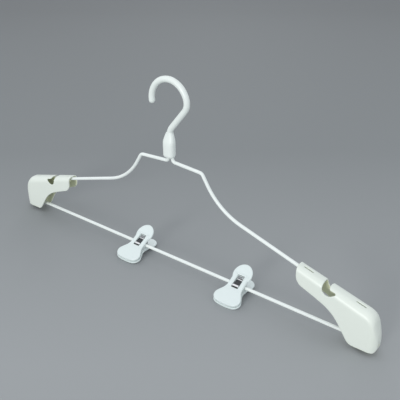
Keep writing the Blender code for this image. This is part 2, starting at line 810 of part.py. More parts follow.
def clips(shader, steel, parent):
    hang = Vector((0, HANG_N, -HANG_T)) * MM
    jaws = {"front": jaw(HANG_N), "back": jaw(-HANG_N)}
    for side, x in CLIP_X.items():
        pivot = bpy.data.objects.new(f"clip_{side}_pivot", None)
        HANGER.objects.link(pivot)
        pivot.parent = parent
        pivot.location = (x * MM, 0, BAR_Z * MM)
        pivot.rotation_euler = (-math.radians(CLIP_LEAN[side]), 0, 0)
        for face, turn in (("front", 0), ("back", math.pi)):
            half = mesh_object("half", jaws[face].data.copy(), WORK)
            finish(half, f"{face}_jaw_{side}", shader, pivot)
            half.location = hang
            half.rotation_euler = (0, 0, turn)
        band = slab("band", band_outline(), BAND_WIDTH / 2, across="X")
        finish(band, f"spring_{side}", steel, pivot).location = hang
    for first in jaws.values():
        bpy.data.objects.remove(first)


for old in list(bpy.data.objects):
    bpy.data.objects.remove(old)

HANGER = bpy.data.collections.new("delicates_hanger")
WORK = bpy.data.collections.new("cutters")
for made in (HANGER, WORK):
    bpy.context.scene.collection.children.link(made)

neck = bpy.data.objects.new("neck", None)
HANGER.objects.link(neck)
neck.location = (0, 0, -SADDLE_Z * MM)

hook_and_collar(material("hook_plastic", WHITE_HOOK, 0.35), neck)
shoulder_wire(material("wire_coat", WHITE_WIRE, 0.4), neck)
bottom_bar(material("bar_coat", WHITE_WIRE, 0.4), neck)
shoulder_ends(material("end_plastic", WHITE_END, 0.35), neck)
clips(material("clip_plastic", WHITE_CLIP, 0.35), material("spring_steel", SPRING_STEEL, 0.25, 1.0), neck)
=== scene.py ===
# %% [markdown]
# A delicates hanger, dressed
#
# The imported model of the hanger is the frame. It has every piece at its real place and size, but
# its faces are plain. This script gives each piece its finished surface: first the finishes, then
# one wire or moulding after another, and at the end the floor, the lamps and the camera.

# %% Load the frame
import json
import math

import bmesh
import bpy
from mathutils import Matrix, Vector


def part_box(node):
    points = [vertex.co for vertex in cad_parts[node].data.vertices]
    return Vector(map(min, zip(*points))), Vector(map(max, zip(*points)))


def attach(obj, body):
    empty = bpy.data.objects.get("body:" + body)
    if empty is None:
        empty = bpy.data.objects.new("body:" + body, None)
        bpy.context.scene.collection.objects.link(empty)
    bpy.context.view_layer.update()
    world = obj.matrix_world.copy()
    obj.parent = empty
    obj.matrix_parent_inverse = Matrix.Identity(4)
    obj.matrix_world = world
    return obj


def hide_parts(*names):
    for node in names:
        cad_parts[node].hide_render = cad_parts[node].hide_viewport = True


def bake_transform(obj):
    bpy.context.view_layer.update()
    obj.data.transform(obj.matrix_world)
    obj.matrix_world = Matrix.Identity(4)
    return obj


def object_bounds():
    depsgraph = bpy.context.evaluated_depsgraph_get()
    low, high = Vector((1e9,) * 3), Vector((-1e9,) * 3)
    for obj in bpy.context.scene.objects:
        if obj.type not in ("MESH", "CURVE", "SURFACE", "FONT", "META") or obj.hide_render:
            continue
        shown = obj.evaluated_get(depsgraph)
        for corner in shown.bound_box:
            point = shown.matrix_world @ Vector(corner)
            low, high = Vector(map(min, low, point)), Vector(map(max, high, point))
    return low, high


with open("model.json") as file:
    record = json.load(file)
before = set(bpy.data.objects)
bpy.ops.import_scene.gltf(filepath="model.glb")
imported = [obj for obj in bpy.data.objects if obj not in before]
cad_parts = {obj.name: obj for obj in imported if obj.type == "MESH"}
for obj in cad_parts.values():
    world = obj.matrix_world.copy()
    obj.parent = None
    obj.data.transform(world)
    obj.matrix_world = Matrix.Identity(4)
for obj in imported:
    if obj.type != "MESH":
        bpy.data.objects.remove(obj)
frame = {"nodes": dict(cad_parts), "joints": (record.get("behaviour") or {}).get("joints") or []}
joints = {joint["name"]: joint for joint in frame["joints"]}
cad_low, cad_high = [list(corner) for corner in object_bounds()]
cad_size = [round(high - low, 4) for low, high in zip(cad_low, cad_high)]
print("frame:", len(frame["nodes"]), "nodes,", cad_size, "m")

# %% [markdown]
# Sizes
#
# Sizes here are in millimetres, from the neck line where the wires leave the collar. Blender's
# are in metres, from the frame's origin inside the hook. The first two constants turn one into
# the other. Sizes that the frame already holds are read from it, so they can't drift apart.

# %% Sizes in millimetres
MM = 0.001
NECK_BELOW_ORIGIN = 81.15
bar_low, bar_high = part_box("bottom_bar")
WIRE_R = (bar_high.y - bar_low.y) / 2 / MM
BAR_Z = bar_low.z / MM + WIRE_R + NECK_BELOW_ORIGIN
BORE_R = WIRE_R + 0.3
CHORD = 0.012  # how far an arc's straight pieces may lie from the true arc
print("wire radius", round(WIRE_R, 3), "mm, bar at", round(BAR_Z, 2), "mm")

# %% [markdown]
# Shader maths
#
# A finish is a small sum: a colour, a little noise, a little bump. In Blender each step of such a
# sum is a Math node. Wiring them one by one hides the sum, so this class wraps a socket and lets
# Python's own operators add the nodes. Writing 1 - mask * 0.3 is then all that is needed.

# %% A socket that does sums
class Field:
    """A value or colour over a surface, which can be used in sums."""

    def __init__(self, tree, socket=None):
        self.tree = tree
        self.socket = socket

    def node(self, kind, settings=(), values=(), output=0):
        """Add any node: its settings first, then its sockets. Gives one of its outputs."""
        made = self.tree.nodes.new(kind)
        for name, setting in dict(settings).items():
            if name == "stops":
                ramp = made.color_ramp.elements
                while len(ramp) < len(setting):
                    ramp.new(1)
                for element, (place, colour) in zip(ramp, setting):
                    element.position = place
                    element.color = (*colour, 1)
            else:
                setattr(made, name, setting)
        for name, value in dict(values).items():
            if isinstance(value, Field):
                self.tree.links.new(value.socket, made.inputs[name])
            else:
                made.inputs[name].default_value = value
        return Field(self.tree, made.outputs[output])

    def maths(self, operation, first, second):
        return self.node("ShaderNodeMath", {"operation": operation}, {0: first, 1: second})

    def __add__(self, other):
        return self.maths("ADD", self, other)

    def __mul__(self, other):
        return self.maths("MULTIPLY", self, other)

    def __sub__(self, other):
        return self.maths("SUBTRACT", self, other)

    def __rsub__(self, other):
        return self.maths("SUBTRACT", other, self)

    __radd__ = __add__
    __rmul__ = __mul__


# %% A new finish, and what finishes share
def new_finish(name, roughness, metallic=0.0, coat=0.0):
    """A material, a field to start its sums from, and its Principled shader."""
    finish = bpy.data.materials.new(name)
    finish.use_nodes = True
    shader = finish.node_tree.nodes["Principled BSDF"]
    values = {"Roughness": roughness, "Metallic": metallic, "Coat Weight": coat,
              "Coat Roughness": 0.25}
    for key, value in values.items():
        shader.inputs[key].default_value = value
    return finish, Field(finish.node_tree), shader


def place_in_mm(start, stretch=(1, 1, 1)):
    """The point on the surface in millimetres, squeezed along the axes where a pattern is long."""
    spot = start.node("ShaderNodeTexCoord", output="Object")
    scale = [part / MM for part in stretch]
    return start.node("ShaderNodeMapping", {}, {"Vector": spot, "Scale": scale})


def noise(start, place, size, detail=2.0):
    """Cloudy noise from 0 to 1, whose blots are about size millimetres across."""
    values = {"Vector": place, "Scale": 1 / size, "Detail": detail}
    return start.node("ShaderNodeTexNoise", {}, values)


def mix_colour(start, share, first, second):
    """The first colour where share is 0 and the second where it is 1."""
    values = {"Factor": share, 6: first, 7: second}
    return start.node("ShaderNodeMix", {"data_type": "RGBA"}, values, output=2)


def wire_up(start, shader, name, value):
    start.tree.links.new(value.socket, shader.inputs[name])


def roughen(start, shader, height, strength, depth):
    """Let the surface rise and fall with the height, by a depth in millimetres."""
    values = {"Height": height, "Strength": strength, "Distance": depth * MM}
    wire_up(start, shader, "Normal", start.node("ShaderNodeBump", {}, values))


# %% [markdown]
# Moulded plastic
#
# Moulded plastic is never quite even. The melt leaves faint clouds in its colour, the mould's
# polish varies, and thick places sink a few hundredths of a millimetre as they cool. A picture
# would have to be unwrapped for each moulding, so each of the three is a noise of its own size.
# Inside a shoulder end the light that has passed through the wall is warm and green, and in a
# clip's narrow recess and on its window's upper wall lies deep shade. Both are painted shade: each
# point of these mouldings keeps a note of how hollow its place is, and the note mixes a third colour
# in.

# %% Moulded plastic
CLOUD_SHARE = 0.3  # how far the clouds take the colour towards its deeper tone


def moulded_plastic(name, colour, deep, roughness, hollow=None):
    """Cloudy plastic with a soft gloss, in two near tones and a painted shade for its hollows."""
    finish, start, shader = new_finish(name, roughness, coat=0.12)
    place = place_in_mm(start)
    clouds = noise(start, place, 14.0, 3.0)
    share = (clouds - 0.5) * CLOUD_SHARE + CLOUD_SHARE
    tone = mix_colour(start, share, (*colour, 1), (*deep, 1))
    if hollow:
        # painted shade: the hollow note mixes the hollow colour into the tone
        inside = start.node("ShaderNodeAttribute", {"attribute_name": "hollow"}, output="Fac")
        tone = mix_colour(start, inside * 0.85, tone, (*hollow, 1))
    wire_up(start, shader, "Base Color", tone)
    polish = noise(start, place, 5.0, 2.0)
    wire_up(start, shader, "Roughness", roughness + (polish - 0.5) * 0.14)
    sink = noise(start, place, 9.0, 1.0)
    grain = noise(start, place, 0.35, 2.0)
    roughen(start, shader, sink * 0.9 + grain * 0.1, 0.35, 0.12)
    return finish


hook_plastic = moulded_plastic("hook_plastic", (0.835, 0.885, 0.855), (0.765, 0.83, 0.795), 0.34)
# the ends' hollow colour is painted shade lit warm green through the wall, and the clips' is
# near-black painted shade
end_plastic = moulded_plastic("end_plastic", (0.79, 0.84, 0.78), (0.72, 0.78, 0.70), 0.38,
                              hollow=(0.74, 0.76, 0.52))
clip_plastic = moulded_plastic("clip_plastic", (0.77, 0.845, 0.835), (0.70, 0.79, 0.775), 0.36,
                               hollow=(0.05, 0.055, 0.05))
print("three plastics made")


# %% [markdown]
# Coated wire
#
# The steel wire is dipped in white plastic. The coat runs a little along the wire before it sets,
# so its unevenness is long and low, and its gloss is softer than that of a moulding. One noise
# makes the runs and a finer one the dimples.

# %% Coated wire
def coated_wire(name, colour, deep):
    """Dipped plastic with long low runs and fine dimples."""
    finish, start, shader = new_finish(name, 0.42, coat=0.1)
    place = place_in_mm(start)
    runs = noise(start, place, 6.0, 3.0)
    wire_up(start, shader, "Base Color", mix_colour(start, runs, (*colour, 1), (*deep, 1)))
    wire_up(start, shader, "Roughness", 0.36 + runs * 0.16)
    orange_peel = noise(start, place, 1.1, 2.0)
    roughen(start, shader, runs * 0.7 + orange_peel * 0.3, 0.5, 0.18)
    return finish


wire_coat = coated_wire("wire_coat", (0.87, 0.915, 0.89), (0.80, 0.855, 0.83))


# %% [markdown]
# Spring steel
#
# The spring is a band of rolled strip. Rolling leaves fine lines and a dark, mirror-like face,
# which looks nearly black except where it faces a lamp. A noise stretched along the band makes
# the lines. On the lips and on two lines across the bend a near-white painted highlight is mixed
# in, and a note on each point tells the finish where that is.

# %% Spring steel
def spring_steel_finish():
    """Dark rolled steel with a near-white painted highlight where the note says so."""
    finish, start, shader = new_finish("spring_steel", 0.2, metallic=1.0)
    lines = noise(start, place_in_mm(start, (0.08, 1, 1)), 0.12, 2.0)
    smoke = noise(start, place_in_mm(start), 2.5, 2.0)
    dark = mix_colour(start, smoke, (0.11, 0.115, 0.12, 1), (0.055, 0.058, 0.06, 1))
    # painted highlight: where the note is 1 the steel turns near white and mostly not metallic
    bare = start.node("ShaderNodeAttribute", {"attribute_name": "bare"}, output="Fac")
    wire_up(start, shader, "Base Color", mix_colour(start, bare, dark, (0.95, 0.955, 0.96, 1)))
    wire_up(start, shader, "Metallic", 1 - bare * 0.7)
    wire_up(start, shader, "Roughness", 0.14 + lines * 0.12 + smoke * 0.06)
    roughen(start, shader, lines, 0.3, 0.04)
    return finish


spring_steel = spring_steel_finish()
print("wire coat and spring steel made")


# %% [markdown]
# Lines and outlines
#
# Almost every shape here starts as a line of corners with rounded bends, as on a drawing. Bezier
# handles only come near a true radius. So these helpers turn the corners into points, and cut each
# arc as finely as its radius needs.

# %% Points on arcs and rounded lines
def arc(centre, radius, start, end):
    """Points on an arc, angles in degrees."""
    turn = math.radians(end - start)
    count = arc_count(radius, turn)
    angles = [math.radians(start) + turn * i / count for i in range(count + 1)]
    return [centre + radius * Vector((math.cos(a), math.sin(a))) for a in angles]


def arc_count(radius, turn):
    """How many straight pieces keep an arc within CHORD of the true one."""
    widest = 2 * math.acos(1 - CHORD / max(radius, 2 * CHORD))
    return max(3, math.ceil(abs(turn) / widest))


def rounded(corners, closed=False):
    """A line through corners (x, z, radius), each corner rounded to its radius."""
    points = []
    for i, (x, z, radius) in enumerate(corners):
        here = Vector((x, z))
        if radius == 0 or (not closed and i in (0, len(corners) - 1)):
            points.append(here)
            continue
        before = (Vector(corners[i - 1][:2]) - here).normalized()
        after = (Vector(corners[(i + 1) % len(corners)][:2]) - here).normalized()
        half = before.angle(after) / 2
        centre = here + (before + after).normalized() * (radius / math.sin(half))
        start = here + before * (radius / math.tan(half)) - centre
        turn = math.pi - 2 * half
        side = 1 if before.cross(after) < 0 else -1
        count = arc_count(radius, turn)
        for k in range(count + 1):
            points.append(centre + Matrix.Rotation(side * turn * k / count, 2) @ start)
    return points


def mirrored(line):
    return [Vector((-p.x, p.y)) for p in reversed(line)]


def square_to(line, i):
    """The way square to a line at its point i, to the left as it runs."""
    along = (line[min(i + 1, len(line) - 1)] - line[max(i - 1, 0)]).normalized()
    return Vector((-along.y, along.x))


# %% [markdown]
# From modifiers to dressed pieces
#
# A piece that moves has to be a plain mesh. Baking takes the mesh that Blender shows and drops the
# modifiers. Dressing gives it its finish, the body on which it rides and the plain node for which
# it stands.

# %% Modify and bake
def link(obj):
    bpy.context.scene.collection.objects.link(obj)
    return obj


def modify(obj, kind, **settings):
    modifier = obj.modifiers.new(kind, kind)
    for name, setting in settings.items():
        setattr(modifier, name, setting)


def bake(obj, name):
    """The object's evaluated mesh as a plain mesh object, in place of it."""
    bpy.context.view_layer.update()
    evaluated = obj.evaluated_get(bpy.context.evaluated_depsgraph_get())
    mesh = bpy.data.meshes.new_from_object(evaluated)
    mesh.transform(obj.matrix_world)
    bpy.data.objects.remove(obj)
    mesh.name = name
    return link(bpy.data.objects.new(name, mesh))


# %% Dress, note and lower a piece
def dress(obj, finish, body, node):
    """Give a piece its finish, and say what it rides on and stands for."""
    obj.data.materials.clear()
    obj.data.materials.append(finish)
    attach(obj, body)
    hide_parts(node)


def note(obj, name, values):
    """Keep a number for each point of the piece, which its finish can read."""
    obj.data.attributes.new(name, "FLOAT", "POINT").data.foreach_set("value", values)


def lower_to_frame(obj):
    """Move a piece from the neck line's place to the frame's."""
    obj.data.transform(Matrix.Translation((0, 0, -NECK_BELOW_ORIGIN * MM)))
    return obj


# %% [markdown]
# Wires by Geometry Nodes
#
# A wire is a round section swept along a line. A curve's own bevel does that too, but it can't make
# the coat uneven. Geometry Nodes can: they cut the line into even steps, sweep a circle along it
# that a noise with a fixed seed makes a hair larger and smaller, smooth the shading and give it its
# finish.

# %% How every node tree starts and ends
def add_socket(tree, name, kind, way="INPUT"):
    return tree.interface.new_socket(name, in_out=way, socket_type="NodeSocket" + kind).identifier


def new_tree(title, kinds):
    """A node tree, a field for each of its inputs, and their identifiers by name."""
    tree = bpy.data.node_groups.new(title, "GeometryNodeTree")
    keys = {name: add_socket(tree, name, kind) for name, kind in kinds.items()}
    add_socket(tree, "Result", "Geometry", "OUTPUT")
    given = tree.nodes.new("NodeGroupInput")
    return tree, {name: Field(tree, given.outputs[name]) for name in kinds}, keys


def end_tree(tree, shape, finish):
    """Make the shape real, give it its finish and send it out."""
    start = Field(tree)
    real = start.node("GeometryNodeRealizeInstances", {}, {"Geometry": shape})
    done = start.node("GeometryNodeSetMaterial", {}, {"Geometry": real, "Material": finish})
    tree.links.new(done.socket, tree.nodes.new("NodeGroupOutput").inputs["Result"])


def grow(obj, tree, keys, sizes):
    """Run the tree on the object with these inputs, and keep the mesh that it makes."""
    modifier = obj.modifiers.new(tree.name, "NODES")
    modifier.node_group = tree
    for name, value in sizes.items():
        modifier[keys[name]] = value
    obj.update_tag()
    return bake(obj, obj.name)


# %% The wire tree
def wire_tree():
    """A tree that turns a curve into a coated wire."""
    kinds = {"Line": "Geometry", "Radius": "Float", "Step": "Float", "Sides": "Int",
             "Unevenness": "Float", "Seed": "Float", "Finish": "Material"}
    tree, inputs, keys = new_tree("wire_from_curve", kinds)
    start = Field(tree)
    even = start.node("GeometryNodeResampleCurve", {"mode": "LENGTH"},
                      {"Curve": inputs["Line"], "Length": inputs["Step"]})
    section = start.node("GeometryNodeCurvePrimitiveCircle", {},
                         {"Resolution": inputs["Sides"], "Radius": inputs["Radius"]})
    lumps = start.node("ShaderNodeTexNoise", {"noise_dimensions": "4D"},
                       {"W": inputs["Seed"], "Scale": 160.0, "Detail": 1.0})
    swell = 1 + (lumps - 0.5) * inputs["Unevenness"]
    swept = start.node("GeometryNodeCurveToMesh", {},
                       {"Curve": even, "Profile Curve": section, "Scale": swell, "Fill Caps": True})
    smooth = start.node("GeometryNodeSetShadeSmooth", {}, {"Geometry": swept})
    end_tree(tree, smooth, inputs["Finish"])
    return tree, keys


WIRE_TREE = wire_tree()
print("wire tree made, with the inputs", *WIRE_TREE[1])


def wire_object(name, line, seed):
    """A coated wire along a line in the plane of the hanger."""
    curve = bpy.data.curves.new(name, "CURVE")
    curve.dimensions = "3D"
    spline = curve.splines.new("POLY")
    spline.points.add(len(line) - 1)
    for target, p in zip(spline.points, line):
        target.co = (*(Vector((p.x, 0, p.y - NECK_BELOW_ORIGIN)) * MM), 1)
    sizes = {"Radius": WIRE_R * MM, "Step": 0.6 * MM, "Sides": 28, "Unevenness": 0.05,
             "Seed": seed, "Finish": wire_coat}
    return grow(link(bpy.data.objects.new(name, curve)), *WIRE_TREE, sizes)


# %% The shoulder wire and the bottom bar
HAIRPIN_R = 2.5
HAIRPIN_Z = 21.5
NECK_BEND = (HAIRPIN_R, 2.4, 3.5)  # bends as (x, z, radius)
NECK_CORNER = (38.2, 0.2, 5.0)
SLOPE_CORNER = (58.7, -33.0, 70.0)
END_X = 143.5  # inner upper corner of the right shoulder end
END_Z = -55.6
WIRE_END = (END_X + 23.5, END_Z - 10.6)

right_half = rounded([
    (HAIRPIN_R, HAIRPIN_Z, 0),
    NECK_BEND,
    NECK_CORNER,
    SLOPE_CORNER,
    (*WIRE_END, 0),
])
hairpin = arc(Vector((0, HAIRPIN_Z)), HAIRPIN_R, 180, 0)
shoulder_line = mirrored(right_half)[:-1] + hairpin + right_half[1:]
shoulder_wire = wire_object("shoulder_wire_coated", shoulder_line, 3.0)

BAR_RISER_X = END_X + 76.5  # the bar turns up here, and back under the roof
BAR_TOP_Z = END_Z - 25.6
BAR_TIP = (END_X + 55.5, END_Z - 19.2)
bar_half = rounded([
    (*BAR_TIP, 0),
    (BAR_RISER_X, BAR_TOP_Z, 10.0),
    (BAR_RISER_X, BAR_Z, 12.0),
    (0, BAR_Z, 0),
])
bottom_bar = wire_object("bottom_bar_coated", bar_half[:-1] + mirrored(bar_half[:-1]), 8.0)
for wire, node in ((shoulder_wire, "shoulder_wire"), (bottom_bar, "bottom_bar")):
    dress(wire, wire_coat, "frame", node)
    print(wire.name, len(wire.data.polygons), "faces")


# %% [markdown]
# Solid modelling helpers
#
# A moulding could be shaped by moving points about, but then its sizes would be lost. Here it
# starts as full forms: lofts over rings of points, or flat outlines with a thickness. Boolean
# modifiers join them and cut the hollows and slots.

# %% Lofts, slabs, blocks and Booleans
def mesh_object(name, builder):
    mesh = bpy.data.meshes.new(name)
    builder.to_mesh(mesh)
    builder.free()
    return link(bpy.data.objects.new(name, mesh))


def loft(name, rings):
    """A closed skin over rings with the same number of points, in millimetres."""
    builder = bmesh.new()
    rows = [[builder.verts.new(Vector(p) * MM) for p in ring] for ring in rings]
    count = len(rings[0])
    for lower, upper in zip(rows, rows[1:]):
        for i in range(count):
            j = (i + 1) % count
            builder.faces.new((lower[i], lower[j], upper[j], upper[i]))
    builder.faces.new(rows[0][::-1])
    builder.faces.new(rows[-1])
    bmesh.ops.recalc_face_normals(builder, faces=builder.faces)
    return mesh_object(name, builder)


def slab(name, outline, half, across="Y"):
    """A flat outline with the same thickness to both sides of y = 0, or of x = 0."""
    rings = []
    for side in (-half, half):
        if across == "Y":
            rings.append([(p.x, side, p.y) for p in outline])
        else:
            rings.append([(side, p.x, p.y) for p in outline])
    return loft(name, rings)


def block(name, low, high):
    """A box between two corners."""
    builder = bmesh.new()
    bmesh.ops.create_cube(builder, size=1)
    bmesh.ops.scale(builder, vec=(Vector(high) - Vector(low)) * MM, verts=builder.verts)
    bmesh.ops.translate(builder, vec=(Vector(high) + Vector(low)) / 2 * MM, verts=builder.verts)
    return mesh_object(name, builder)


def tube(name, line, radius, radii=None, sides=24):
    """A round bar along a line in the plane y = 0."""
    rings = []
    for i, here in enumerate(line):
        r = radius * (radii[i] if radii else 1)
        ring = []
        for k in range(sides):
            a = 2 * math.pi * k / sides
            spot = here + square_to(line, i) * r * math.cos(a)
            ring.append((spot.x, r * math.sin(a), spot.y))
        rings.append(ring)
    return loft(name, rings)


def combine(body, operation, others):
    """Cut, join or intersect the body with the others, one after another."""
    for other in others:
        modify(body, "BOOLEAN", operation=operation, solver="EXACT", object=other)
    result = bake(body, body.name)
    for other in others:
        bpy.data.objects.remove(other)
    return result


# %% [markdown]
# Soft edges
#
# Cutting leaves edges as sharp as a knife, and no moulding has those. A Bevel modifier often fails
# where many cuts meet. A voxel remesh wraps the whole piece in a fine, even skin instead, and
# smoothing wears its edges round by a few tenths of a millimetre, inside corners too. The skin also
# fuses forms that only overlap.

# %% Remesh and relax
def soften(obj, name, voxel, rounds):
    """A fine even skin over the piece, with its edges worn round."""
    modify(obj, "REMESH", mode="VOXEL", voxel_size=voxel * MM, use_smooth_shade=True)
    modify(obj, "SMOOTH", factor=0.5, iterations=rounds)
    made = bake(obj, name)
    made.data.shade_smooth()
    print(name, len(made.data.polygons), "faces")
    return made


# %% [markdown]
# Hook and collar
#
# The hook is one moulding. Its round tube bends back over the rail, tightens at the heel and runs
# down into a flattened collar, which grips the wires. The tube shows as a ridge on the collar and
# fades out half way down. A swept curve would end flat, so the tube is a loft along its centre
# line, whose first rings make a dome. The collar is a loft over rings between an ellipse and a
# rectangle, and the soft skin makes the fillet between both.

# %% The hook's tube
HOOK_TUBE_R = 3.05
HOOK_R = 21.2
HOOK_Z = 63.0                   # middle of the round part
TIP_ANGLE = 187.0
HEEL_ANGLE = 14.0               # where the round part tightens into the heel
HEEL_R = 13.0
STEM_Z = 34.7                   # where the slanted run meets the upright stem
STEM_BEND_R = 12.0
STEM_ROOT_Z = 15.0
SUNK_Z = 24.0  # below this height the tube sinks into the collar
SUNK_WIDTH = 0.97


def hook_line():
    """Centre line of the hook from its tip down to its root in the collar."""
    bend = Vector((0, HOOK_Z))
    angle = math.radians(HEEL_ANGLE)
    heel = bend + (HOOK_R - HEEL_R) * Vector((math.cos(angle), math.sin(angle)))
    towards = heel - Vector((0, STEM_Z))
    slant = math.atan2(towards.y, towards.x) - math.asin(HEEL_R / towards.length)
    line = arc(bend, HOOK_R, TIP_ANGLE, HEEL_ANGLE)
    line += arc(heel, HEEL_R, HEEL_ANGLE, math.degrees(slant) - 90)[1:]
    stem = [(line[-1].x, line[-1].y, 0), (0, STEM_Z, STEM_BEND_R), (0, STEM_ROOT_Z, 0)]
    return line + rounded(stem)[1:]


def domed(line, radius):
    """The line with a short run added before it, and the widths that make its tip a dome."""
    outward = (line[0] - line[1]).normalized()
    turns = [math.radians(angle) for angle in (8, 20, 35, 50, 65, 80)]
    tip = [line[0] + outward * (math.cos(turn) * radius) for turn in turns]
    return tip + line, [math.sin(turn) for turn in turns] + [1.0] * len(line)


stem_line, stem_widths = domed(hook_line(), HOOK_TUBE_R)
stem_widths = [w if p.y > SUNK_Z else SUNK_WIDTH for w, p in zip(stem_widths, stem_line)]
hook_tube = tube("hook_tube", stem_line, HOOK_TUBE_R, stem_widths, sides=40)
print("the hook's tube is a loft over", len(stem_line), "rings")

# %% The collar
COLLAR_FOOT_Z = 6.6
COLLAR_SHOULDER_Z = 23.0
COLLAR_TOP_Z = 33.5
COLLAR_MIDDLE = (-0.45, -0.8)   # it stands beside and before the wires
COLLAR_HALF = (6.45, 4.7)       # half width and half depth
COLLAR_TOP_HALF_DEPTH = 3.0
COLLAR_TAPER = 0.5              # how much narrower its foot is
COLLAR_POWER = 1.25             # roundness of its shoulders
COLLAR_DEEPENS = 1.8            # how fast it reaches its full depth from the top down
COLLAR_FOOT_ROUND = 3.0


def oval(half_width, half_depth, z, count=64, power=2.7):
    """A ring between an ellipse and a rectangle."""
    ring = []
    for i in range(count):
        c = math.cos(2 * math.pi * i / count)
        s = math.sin(2 * math.pi * i / count)
        x = half_width * math.copysign(abs(c) ** (2 / power), c)
        y = half_depth * math.copysign(abs(s) ** (2 / power), s)
        ring.append((x, y, z))
    return ring


def collar_rise(z):
    """How far up the collar's shoulders a height is, from 0 to 1."""
    return min(1, max(0, (z - COLLAR_SHOULDER_Z) / (COLLAR_TOP_Z - COLLAR_SHOULDER_Z)))


def collar_half(z):
    """Half width and half depth of the collar at a height."""
    wide, deep = COLLAR_HALF
    narrow = wide - HOOK_TUBE_R * 0.9
    width = wide - narrow * (1 - (1 - collar_rise(z) ** COLLAR_POWER) ** (1 / COLLAR_POWER))
    width -= COLLAR_TAPER * (1 - min(1, (z - COLLAR_FOOT_Z) / (COLLAR_SHOULDER_Z - COLLAR_FOOT_Z)))
    share = min(1, (COLLAR_TOP_Z - z) / (COLLAR_TOP_Z - COLLAR_FOOT_Z) * COLLAR_DEEPENS)
    thin = COLLAR_TOP_HALF_DEPTH
    return width, thin + (deep - thin) * share * share * (3 - 2 * share)


def collar_ring(z, inset=0.0):
    """Ring of the collar at a height. Its middle moves under the tube towards the top."""
    width, depth = collar_half(z)
    off = 1 - collar_rise(z)
    ring = oval(width - inset, depth - inset, z)
    return [(x + COLLAR_MIDDLE[0] * off, y + COLLAR_MIDDLE[1] * off, z) for x, y, z in ring]


rings = []
for degrees in range(0, 90, 15):
    turn = math.radians(degrees)
    lift = COLLAR_FOOT_ROUND * (1 - math.cos(turn))
    rings.append(collar_ring(COLLAR_FOOT_Z + lift, COLLAR_FOOT_ROUND * (1 - math.sin(turn))))
foot_top = COLLAR_FOOT_Z + COLLAR_FOOT_ROUND
for low, high, count in ((foot_top, COLLAR_SHOULDER_Z, 12), (COLLAR_SHOULDER_Z, COLLAR_TOP_Z, 14)):
    rings += [collar_ring(low + (high - low) * i / count) for i in range(count)]
collar = loft("collar", rings)
print("the collar is a loft over", len(rings), "rings")

# %% Recess, wire holes and the soft skin
RIM = 1.5                       # wall left round the recess in the collar's foot
RECESS_DEPTH = 1.5
HAIR = 0.01                     # so far the cutter passes the foot
BORE_FOOT_Z = 6.0

recess_levels = (COLLAR_FOOT_Z, COLLAR_FOOT_Z + RECESS_DEPTH)
recess = loft("recess", [collar_ring(z, RIM) for z in recess_levels])
recess.data.transform(Matrix.Translation((0, 0, -HAIR * MM)))
hairpin_bore = [Vector((-HAIRPIN_R, BORE_FOOT_Z))] + hairpin + [Vector((HAIRPIN_R, BORE_FOOT_Z))]
hook = combine(hook_tube, "UNION", [collar])
hook = combine(hook, "DIFFERENCE", [recess, tube("hairpin_bore", hairpin_bore, BORE_R)])
hook = soften(lower_to_frame(hook), "hook_and_collar_moulding", 0.28, 5)
dress(hook, hook_plastic, "frame", "hook_and_collar")


# %% [markdown]
# Shoulder ends
#
# Each shoulder end is a thin shell, open below and at its inner end, with a round nose, a hooked
# notch for straps and two slots in its roof. The outer form is a loft along the hanger: at each
# step the ring follows the side view's outline, the walls swell a little, the roof's edges are
# round, and towards the nose the rings draw in like the bow of a boat. The hollow is the same
# loft, one wall thickness smaller. A Solidify modifier would give the same even wall, but this way
# ribs are made by cutting them out of the hollow first.

# %% Side view of the right shoulder end
WALL = 1.6
HALF_DEPTH = (6.8, 8.4)         # at the inner end and at the nose
EDGE_R = (5.2, 7.6)             # rounding of the roof's edges, likewise
SWELL = 0.35                    # how far the side walls swell out
ROOF_LENGTH = 79.0
ROOF_DROP = 22.2
ROOF_SLOPE = ROOF_DROP / ROOF_LENGTH
FOOT_Z = BAR_Z - 5.8
NOSE_X = END_X + 85.9
NOSE_Z = END_Z - 45.4
NOSE_R = 13.0
NOSE_LENGTH = 9.5               # over this length the walls draw in
BOW_POWER = 2.3
CHEEK_R = 40.0                  # bulge of the outer end
TOE_INSET = 0.9
TOE_RISE = 0.2
TOE_SLANT = 5
TOE_R = 5.5
PAST = 26.0  # how far the full form runs on past its open sides


def crown_corners(inset):
    """Roof, outer end and toe, moved in by the inset, as corners with their radii."""
    toe_x = NOSE_X - TOE_INSET - inset
    drop = inset * math.sqrt(1 + ROOF_SLOPE ** 2)
    roof_end_x = END_X + ROOF_LENGTH - inset
    return [
        (END_X - PAST, END_Z + ROOF_SLOPE * PAST - drop, 0),
        (roof_end_x, END_Z - ROOF_SLOPE * (roof_end_x - END_X) - drop, NOSE_R - inset),
        (NOSE_X - inset, NOSE_Z, CHEEK_R - inset),
        (toe_x, FOOT_Z + TOE_RISE + inset, TOE_R - inset),
        (toe_x - PAST, FOOT_Z + TOE_RISE - TOE_SLANT + inset, 0),
        (END_X - PAST, FOOT_Z - 40, 0),
    ]


def span(outline, x):
    """Lowest and highest point of an outline at x."""
    heights = []
    for a, b in zip(outline, outline[1:] + outline[:1]):
        if a.x != b.x and min(a.x, b.x) <= x <= max(a.x, b.x):
            heights.append(a.y + (b.y - a.y) * (x - a.x) / (b.x - a.x))
    return min(heights), max(heights)


def outward(sizes, x):
    """A size at x, from its values at the inner end and at the nose."""
    return sizes[0] + (sizes[1] - sizes[0]) * (x - END_X) / (NOSE_X - END_X)


def half_depth(x, inset):
    """Half the depth at x: wider outward, and drawn in at the nose."""
    full = outward(HALF_DEPTH, x) - inset
    into_nose = max(0, (x - NOSE_X + NOSE_LENGTH) / (NOSE_LENGTH - inset))
    return full * (1 - min(into_nose, 0.999) ** BOW_POWER) ** (1 / BOW_POWER)


